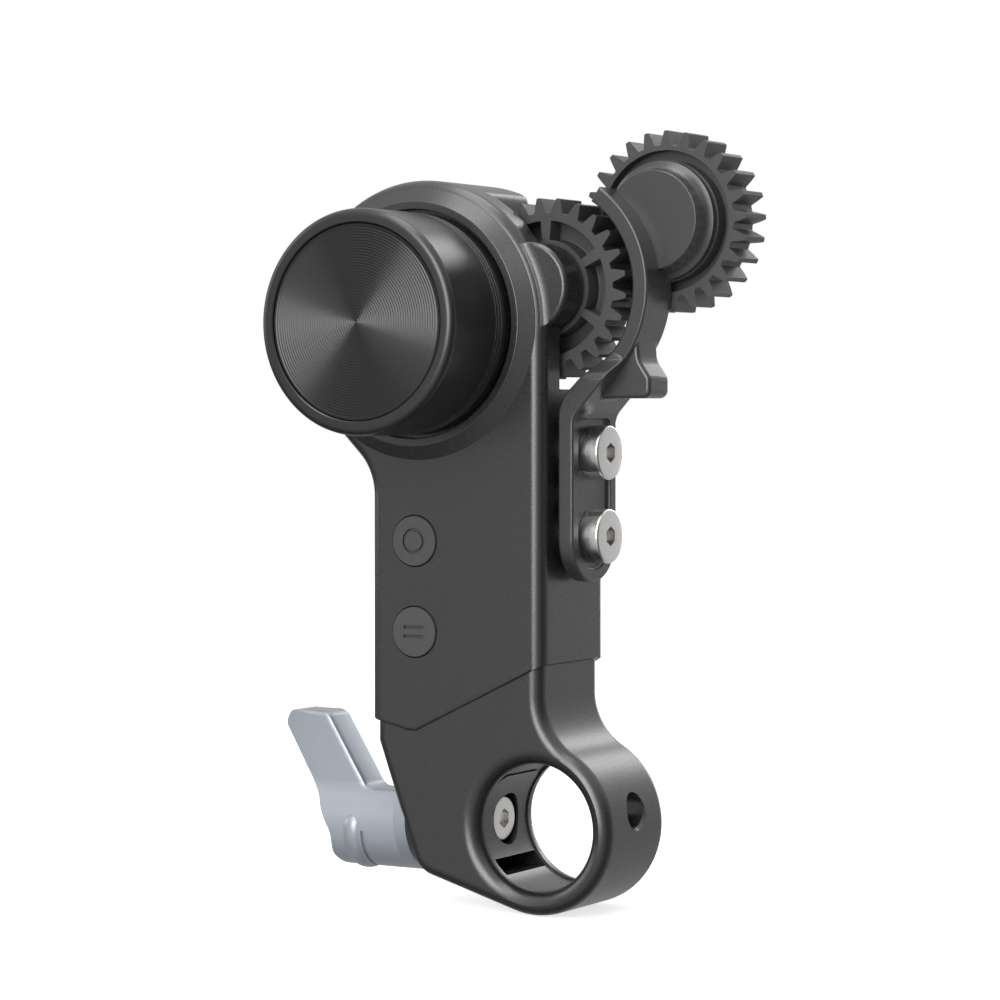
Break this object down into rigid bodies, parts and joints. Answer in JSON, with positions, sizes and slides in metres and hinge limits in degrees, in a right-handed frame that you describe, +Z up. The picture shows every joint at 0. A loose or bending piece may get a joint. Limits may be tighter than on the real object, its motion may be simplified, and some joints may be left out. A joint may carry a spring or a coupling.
{
  "type": "follow focus unit",
  "caption": "Rod-clamped follow focus unit with a hand knob, a geared drive to a toothed idler wheel, push buttons and a clamp lever.",
  "frame": {"origin": "on the axis of the rod clamp's bore, half way through the body", "axes": "+X towards the gears, +Y along the rod from the knob to the back, +Z up towards the knob"},
  "size_m": [0.0606, 0.035, 0.0928],
  "materials": {
    "casing": "satin dark grey, finely blasted",
    "clamp": "dark grey anodised, satin",
    "guard": "black anodised, satin",
    "gear": "moulded acetal, satin",
    "knob": "black anodised, turned",
    "knob_disc": "black anodised, spun with fine concentric grooves",
    "panel": "fine-grained grey",
    "lever": "blasted, clear blue-grey",
    "link": "blasted, bluish silver",
    "screw": "bright nickel plated",
    "steel": "ground",
    "bronze": "plain",
    "button": "satin dark grey",
    "board": "green solder mask",
    "cell": "blue wrap",
    "black_plastic": "plain black"
  },
  "bodies": {
    "housing": {"main_housing": "casing", "rear_cover": "casing", "rear_panel": "panel", "cover_screws": "steel", "clamp_block": "clamp", "neck_cover": "clamp", "block_screws": "steel", "guard_bracket": "guard", "bracket_screws": "screw", "link_plate": "link", "link_screws": "screw", "drive_axle": "steel", "idler_axle": "steel", "knob_bearing": "steel", "rear_bush": "bronze", "motor": "steel", "main_board": "board", "button_switches": "black_plastic", "battery_cell": "cell", "encoder_board": "board", "lever_washer": "steel"},
    "knob": {"knob_grip": "knob", "knob_face": "knob_disc", "knob_shaft": "steel", "knob_pinion": "steel", "knob_wheel": "bronze", "knob_screw": "steel", "encoder_ring": "black_plastic"},
    "drive_train": {"drive_gear": "gear", "drive_pinion": "gear", "drive_bushes": "bronze"},
    "idler": {"idler_gear": "gear", "idler_bushes": "bronze"},
    "motor_rotor": {"motor_pinion": "bronze"},
    "lever": {"lever_handle": "lever", "lever_spindle": "steel", "spindle_screw": "screw"},
    "jaw": {"clamp_jaw": "clamp"},
    "upper_button": {"button_upper": "button"},
    "lower_button": {"button_lower": "button"}
  },
  "joints": [
    {"name": "knob_turn", "type": "hinge", "parent": "housing", "child": "knob", "pos_m": [-0.0155, 0, 0.0596], "axis": [0, 1, 0], "continuous": true},
    {"name": "drive_turn", "type": "hinge", "parent": "housing", "child": "drive_train", "pos_m": [-0.00089, 0, 0.06379], "axis": [0, 1, 0], "continuous": true},
    {"name": "idler_turn", "type": "hinge", "parent": "housing", "child": "idler", "pos_m": [0.0121, 0, 0.07169], "axis": [0, 1, 0], "continuous": true},
    {"name": "motor_turn", "type": "hinge", "parent": "housing", "child": "motor_rotor", "pos_m": [-0.0155, 0, 0.0466], "axis": [0, 1, 0], "continuous": true},
    {"name": "lever_turn", "type": "hinge", "parent": "housing", "child": "lever", "pos_m": [-0.024, 0, 0], "axis": [1, 0, 0], "range_deg": [-90, 180]},
    {"name": "jaw_slide", "type": "slide", "parent": "housing", "child": "jaw", "axis": [1, 0, 0], "range_m": [-0.00021, 0.00041]},
    {"name": "upper_button_press", "type": "slide", "parent": "housing", "child": "upper_button", "axis": [0, 1, 0], "range_m": [0, 0.0004], "stiffness_N_per_m": 800, "springref_m": -0.0005},
    {"name": "lower_button_press", "type": "slide", "parent": "housing", "child": "lower_button", "axis": [0, 1, 0], "range_m": [0, 0.0004], "stiffness_N_per_m": 800, "springref_m": -0.0005}
  ],
  "couplings": [
    {"joint": "drive_turn", "follows": "knob_turn", "ratio": -0.52},
    {"joint": "idler_turn", "follows": "knob_turn", "ratio": 0.2704},
    {"joint": "motor_turn", "follows": "knob_turn", "ratio": -3.3333},
    {"joint": "jaw_slide", "follows": "lever_turn", "m_per_rad": 0.00012732}
  ]
}
